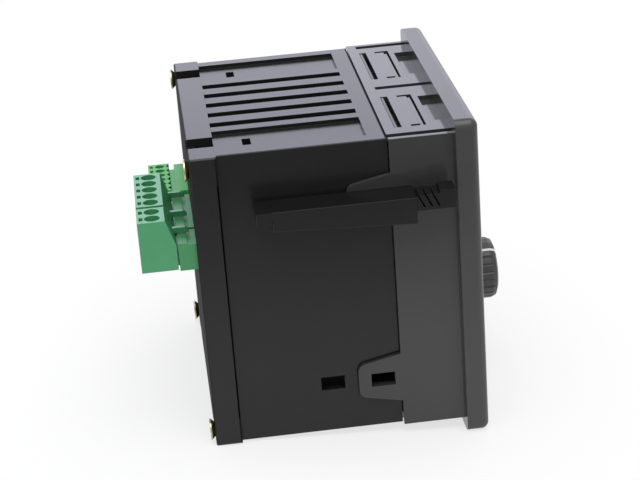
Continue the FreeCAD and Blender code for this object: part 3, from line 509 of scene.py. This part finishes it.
def makeClampCages():
    tree = clampCageTree()
    for plugName, plan in clampPlan.items():
        low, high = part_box(plugName)
        size = Vector(plan["cage"]) * mm
        middle = high[1] - plan["sunk"] * mm - size.y / 2
        cages = grow("clampCages_" + plugName, tree, {
            "Poles": plan["poles"], "Pitch": plan["pitch"] * mm, "Size": size, "Wall": plan["wall"] * mm,
            "First": firstPole(plugName, plan, middle, low[2] + plan["rise"] * mm)})
        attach(cages, plan["body"])


makeClampCages()
print("clamp screws and cages placed")

# Cover screws: countersunk heads with a cross recess, each turned a little differently
coverScrewPlan = dict(
    nodes=["cover_screw_1", "cover_screw_2", "cover_screw_3", "cover_screw_4"], sides=36, core=1.2, cone=1.9,
    rim=0.4, recessWidth=0.8, recessReach=3.2, recessDepth=1.1, seed=4)


def coverScrewTree():
    made = NodeTree("coverScrews", {
        "Points": "Geometry", "Core Radius": "Float", "Head Radius": "Float", "Shank Length": "Float",
        "Cone Height": "Float", "Rim Height": "Float", "Recess Width": "Float", "Recess Reach": "Float",
        "Recess Depth": "Float"})
    shank = made.prism(coverScrewPlan["sides"], made.size("Core Radius"), made.size("Shank Length"))
    cone = made.node("GeometryNodeExtrudeMesh", {"mode": "FACES"}, {
        "Mesh": shank, "Selection": shank.node.outputs["Top"], "Offset Scale": made.size("Cone Height")})
    coneTop = cone.node.outputs["Top"]
    flared = made.node("GeometryNodeScaleElements", {"domain": "FACE"}, {
        "Geometry": cone, "Selection": coneTop,
        "Scale": made.sum("DIVIDE", made.size("Head Radius"), made.size("Core Radius"))})
    head = made.node("GeometryNodeExtrudeMesh", {"mode": "FACES"}, {
        "Mesh": flared, "Selection": coneTop, "Offset Scale": made.size("Rim Height")})
    width = made.size("Recess Width")
    reach = made.size("Recess Reach")
    deep = made.sum("MULTIPLY", made.size("Recess Depth"), 2.0)
    halfShank = made.sum("MULTIPLY", made.size("Shank Length"), 0.5)
    headHeight = made.sum("ADD", made.size("Cone Height"), made.size("Rim Height"))
    lift = made.vector(Z=made.sum("ADD", halfShank, headHeight))
    arms = []
    for armSize in (dict(X=reach, Y=width, Z=deep), dict(X=width, Y=reach, Z=deep)):
        arm = made.block(made.vector(**armSize))
        arms.append(made.node("GeometryNodeTransform", {}, {"Geometry": arm, "Translation": lift}))
    placed = made.node("GeometryNodeInstanceOnPoints", {}, {
        "Points": made.size("Points"), "Instance": made.without(head, arms),
        "Rotation": (-quarterTurn, 0.0, 0.0)})
    roll = made.node("FunctionNodeRandomValue", {"data_type": "FLOAT"}, {
        2: 0.0, 3: quarterTurn, "Seed": coverScrewPlan["seed"]}, 1)
    turned = made.node("GeometryNodeRotateInstances", {}, {
        "Instances": placed, "Rotation": made.vector(Z=roll)})
    made.close(turned, finishes["yellowZinc"])
    return made


def makeCoverScrews():
    plan = coverScrewPlan
    boxes = [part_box(node) for node in plan["nodes"]]
    low, high = boxes[0]
    shank = high[1] - low[1] - (plan["cone"] + plan["rim"]) * mm
    points = [((near[0] + far[0]) / 2, near[1] + shank / 2, (near[2] + far[2]) / 2) for near, far in boxes]
    screws = grow("coverScrews", coverScrewTree(), {
        "Core Radius": plan["core"] * mm, "Head Radius": (high[0] - low[0]) / 2, "Shank Length": shank,
        "Cone Height": plan["cone"] * mm, "Rim Height": plan["rim"] * mm,
        "Recess Width": plan["recessWidth"] * mm, "Recess Reach": plan["recessReach"] * mm,
        "Recess Depth": plan["recessDepth"] * mm}, pointMesh("coverScrews", points))
    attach(screws, "case")
    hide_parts(*plan["nodes"])


makeCoverScrews()
print("cover screws placed")


def faceFront(made, geometry):
    # stands what was laid flat up against the front, with its top side towards the user
    return made.node("GeometryNodeTransform", {}, {
        "Geometry": geometry, "Translation": made.size("Place"), "Rotation": (quarterTurn, 0.0, 0.0)})


# Dial scale printed round the knob: long and short ticks, and every second number from 0 to 10
dialPlan = dict(inner=11.2, long=1.8, short=1.1, width=0.35, fine=0.22, thick=0.05, steps=10, between=5,
                sweep=300, top=90, numberEvery=2, numberSize=2.8, numberRadius=15.6, numberCurves=3)


def dialScaleTree():
    made = NodeTree("dialScale", {
        "Long Count": "Int", "Short Count": "Int", "Long Tick": "Vector", "Short Tick": "Vector",
        "Long Radius": "Float", "Short Radius": "Float", "Start": "Float", "Sweep": "Float",
        "Place": "Vector"})
    rings = []
    outward = made.node("FunctionNodeAlignRotationToVector", {"axis": "Y", "pivot_axis": "Z"}, {
        "Vector": made.node("GeometryNodeInputPosition", {}, {})})
    for kind in ("Long", "Short"):
        arc = made.node("GeometryNodeCurveArc", {"mode": "RADIUS"}, {
            "Resolution": made.size(kind + " Count"), "Radius": made.size(kind + " Radius"),
            "Start Angle": made.size("Start"), "Sweep Angle": made.size("Sweep")})
        points = made.node("GeometryNodeCurveToPoints", {"mode": "EVALUATED"}, {"Curve": arc})
        rings.append(made.node("GeometryNodeInstanceOnPoints", {}, {
            "Points": points, "Instance": made.block(made.size(kind + " Tick")), "Rotation": outward}))
    both = made.node("GeometryNodeJoinGeometry", {}, {"Geometry": rings})
    made.close(faceFront(made, both), finishes["printWhite"])
    return made


def knobCentre(lift):
    # middle of the knob's axis, a little proud of the front field
    low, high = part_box("setpoint_knob")
    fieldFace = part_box("display_window")[0][1]
    return Vector(((low[0] + high[0]) / 2, fieldFace - lift, (low[2] + high[2]) / 2))


def numberMesh(step):
    # a number is a text, made a mesh and stood up at its tick
    plan = dialPlan
    angle = math.radians(plan["top"] + plan["sweep"] / 2 - plan["sweep"] * step / plan["steps"])
    words = bpy.data.curves.new("number", "FONT")
    words.body = str(step)
    words.size = plan["numberSize"] * mm
    words.align_x = "CENTER"
    words.align_y = "CENTER"
    words.extrude = plan["thick"] / 2 * mm
    words.resolution_u = plan["numberCurves"]
    text = newObject("number", words)
    mesh = plainMesh(text)
    bpy.data.objects.remove(text)
    place = knobCentre(plan["thick"] / 2 * mm)
    place += Vector((math.cos(angle), 0, math.sin(angle))) * plan["numberRadius"] * mm
    mesh.transform(Matrix.Translation(place) @ Matrix.Rotation(quarterTurn, 4, "X"))
    return mesh


def printNumbers():
    joined = bmesh.new()
    for step in range(0, dialPlan["steps"] + 1, dialPlan["numberEvery"]):
        joined.from_mesh(numberMesh(step))
    mesh = bpy.data.meshes.new("dialNumbers")
    joined.to_mesh(mesh)
    joined.free()
    mesh.materials.append(finishes["printWhite"])
    return newObject("dialNumbers", mesh)


def makeDial():
    plan = dialPlan
    ticks = grow("dialScale", dialScaleTree(), {
        "Long Count": plan["steps"] + 1, "Short Count": plan["steps"] * plan["between"] + 1,
        "Long Tick": Vector((plan["width"], plan["long"], plan["thick"])) * mm,
        "Short Tick": Vector((plan["fine"], plan["short"], plan["thick"])) * mm,
        "Long Radius": (plan["inner"] + plan["long"] / 2) * mm,
        "Short Radius": (plan["inner"] + plan["short"] / 2) * mm,
        "Start": math.radians(plan["top"] - plan["sweep"] / 2), "Sweep": math.radians(plan["sweep"]),
        "Place": knobCentre(plan["thick"] / 2 * mm)})
    for piece in (ticks, printNumbers()):
        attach(piece, "case")


makeDial()
print("dial scale printed")

# Unlit seven-segment digits on the display module, behind the smoked pane
digitPlan = dict(count=4, pitch=11.4, height=13.0, width=7.0, bar=1.3, gap=0.15, thick=0.2, barSides=6)


def digitTree():
    made = NodeTree("digitSegments", {
        "Points": "Geometry", "Bar": "Vector", "Upright Stretch": "Float", "Place": "Vector"})
    # a prism one unit wide and thick, scaled to the bar's size
    unit = made.prism(digitPlan["barSides"], 0.5, 1.0)
    bar = made.node("GeometryNodeTransform", {}, {"Geometry": unit, "Scale": made.size("Bar")})
    upright = made.node("GeometryNodeInputNamedAttribute", {"data_type": "FLOAT"}, {"Name": "upright"})
    turn = made.vector(Z=made.sum("MULTIPLY", upright, quarterTurn))
    stretch = made.sum("ADD", made.sum("MULTIPLY", upright, made.size("Upright Stretch")), 1.0)
    bars = made.node("GeometryNodeInstanceOnPoints", {}, {
        "Points": made.size("Points"), "Instance": bar, "Rotation": turn,
        "Scale": made.vector(X=stretch, Y=1.0, Z=1.0)})
    made.close(faceFront(made, bars), finishes["segmentGrey"])
    return made


def makeDigits():
    plan = digitPlan
    low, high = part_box("display_module")
    halfWidth = (plan["width"] - plan["bar"]) / 2
    halfHeight = (plan["height"] - plan["bar"]) / 2
    flat = [(0, rise * halfHeight) for rise in (-1, 0, 1)]
    upright = [(side * halfWidth, rise * halfHeight / 2) for side in (-1, 1) for rise in (-1, 1)]
    shifts = [(index - (plan["count"] - 1) / 2) * plan["pitch"] for index in range(plan["count"])]
    points = [((shift + x) * mm, y * mm, 0) for shift in shifts for x, y in flat + upright]
    mesh = pointMesh("displayDigits", points)
    turns = mesh.attributes.new("upright", "FLOAT", "POINT")
    turns.data.foreach_set("value", ([0.0] * len(flat) + [1.0] * len(upright)) * plan["count"])
    length = plan["width"] - plan["bar"] * (1 + plan["gap"])
    tall = halfHeight - plan["bar"] * plan["gap"]
    digits = grow("displayDigits", digitTree(), {
        "Bar": Vector((length, plan["bar"], plan["thick"])) * mm, "Upright Stretch": tall / length - 1,
        "Place": (0.0, low[1] - plan["thick"] / 2 * mm, (low[2] + high[2]) / 2)}, mesh)
    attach(digits, "case")


makeDigits()
print("display digits placed")

# Stage: a pale floor that the bezel's edge and the cover's edge both stand on
stagePlan = dict(half=1.6, floorColor=(0.86, 0.86, 0.86), floorRoughness=0.9, shine=0.72)
# a black flag just above it thins out towards the object and darkens only what the side's upper part mirrors
flagPlan = dict(lift=1.0, clearAt=-0.08, darkAt=-0.3, darkness=0.75)
bezelFoot = Vector((0, 0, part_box("front_housing")[0][2]))
coverFoot = Vector((0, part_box("rear_cover")[1][1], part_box("rear_cover")[0][2]))


def floorFinish():
    finish = Finish("floorWhite", {
        "Roughness": stagePlan["floorRoughness"], "Base Color": (*stagePlan["floorColor"], 1)})
    kinds = ("Camera", "Glossy", "Transmission")
    seen = sum(finish.node("LightPath", {}, {}, f"Is {kind} Ray") for kind in kinds)
    plain = Wire(finish, finish.shader.outputs[0])
    glow = finish.node("Emission", {}, {"Color": white, "Strength": 1.0})
    mixed = finish.node("MixShader", {}, {0: seen * stagePlan["shine"], 1: plain, 2: glow})
    finish.feed(finish.tree.nodes["Material Output"].inputs["Surface"], mixed)
    return finish.material


def flagFinish():
    plan = flagPlan
    finish = Finish("flagBlack", {"Roughness": 1.0, "Base Color": (0, 0, 0, 1), "Specular IOR Level": 0.0})
    across = finish.along(finish.objectCoords(), "X")
    cover = finish.ramp(across, plan["clearAt"], plan["darkAt"], plan["darkness"], "SMOOTHSTEP")
    finish.drive(Alpha=cover)
    return finish.material


def layCard(name, lift, material):
    across = Vector((1, 0, 0))
    along = (coverFoot - bezelFoot).normalized()
    start = bezelFoot + across.cross(along) * lift
    half = stagePlan["half"]
    signs = ((-1, -1), (1, -1), (1, 1), (-1, 1))
    corners = [tuple(start + across * half * x + along * half * y) for x, y in signs]
    mesh = bpy.data.meshes.new(name)
    mesh.from_pydata(corners, [], [(0, 1, 2, 3)])
    mesh.materials.append(material)
    card = newObject(name, mesh)
    return card


layCard("floor", 0, floorFinish())
flag = layCard("flag", flagPlan["lift"] * mm, flagFinish())
flag.visible_camera = flag.visible_diffuse = flag.visible_shadow = False

# Light: an even white surround, a bright panel behind the object and a softbox above
surroundStrength = 0.55
panelAim = Vector((0, 0.03, 0))
panelPlan = {
    "backPanel": dict(place=(0.75, -0.05, 0.33), size=(1.3, 0.55), watts=3.22, tone=(0.8, 0.8, 1.0)),
    "topBox": dict(place=(-0.25, 0.05, 0.9), size=(0.9, 0.9), watts=7.0, tone=(1.0, 1.0, 1.0)),
}


def lightWorld():
    world = bpy.data.worlds.new("surround")
    world.use_nodes = True
    background = world.node_tree.nodes["Background"]
    background.inputs["Color"].default_value = white
    background.inputs["Strength"].default_value = surroundStrength
    bpy.context.scene.world = world


def addPanel(name, plan):
    lamp = bpy.data.lights.new(name, "AREA")
    lamp.shape = "RECTANGLE"
    lamp.size, lamp.size_y = plan["size"]
    lamp.energy = plan["watts"]
    lamp.color = plan["tone"]
    panel = newObject(name, lamp)
    panel.location = plan["place"]
    aim = panelAim - Vector(plan["place"])
    panel.rotation_euler = aim.to_track_quat("-Z", "Y").to_euler()
    panel.visible_camera = False


lightWorld()
for name, plan in panelPlan.items():
    addPanel(name, plan)

# Camera: fitted to the corners of the case in the photograph
cameraPlan = dict(
    place=(-521.46, 81.06, 215.25), right=(-0.1161, -0.9909, -0.0681), down=(-0.3748, 0.1072, -0.9209),
    focalPixels=1859.38, frameWidth=640, sensor=36.0, near=10)


def setCamera():
    plan = cameraPlan
    lens = bpy.data.cameras.new("camera")
    lens.sensor_width = plan["sensor"]
    lens.lens = plan["focalPixels"] / plan["frameWidth"] * plan["sensor"]
    lens.clip_start = plan["near"] * mm
    camera = newObject("camera", lens)
    right = Vector(plan["right"]).normalized()
    up = -Vector(plan["down"])
    up = (up - right * up.dot(right)).normalized()
    turn = Matrix((right, up, right.cross(up))).transposed().to_4x4()
    camera.matrix_world = Matrix.Translation(Vector(plan["place"]) * mm) @ turn
    bpy.context.scene.camera = camera


setCamera()
bpy.context.scene.view_settings.view_transform = "Standard"
print("stage, light and camera set")
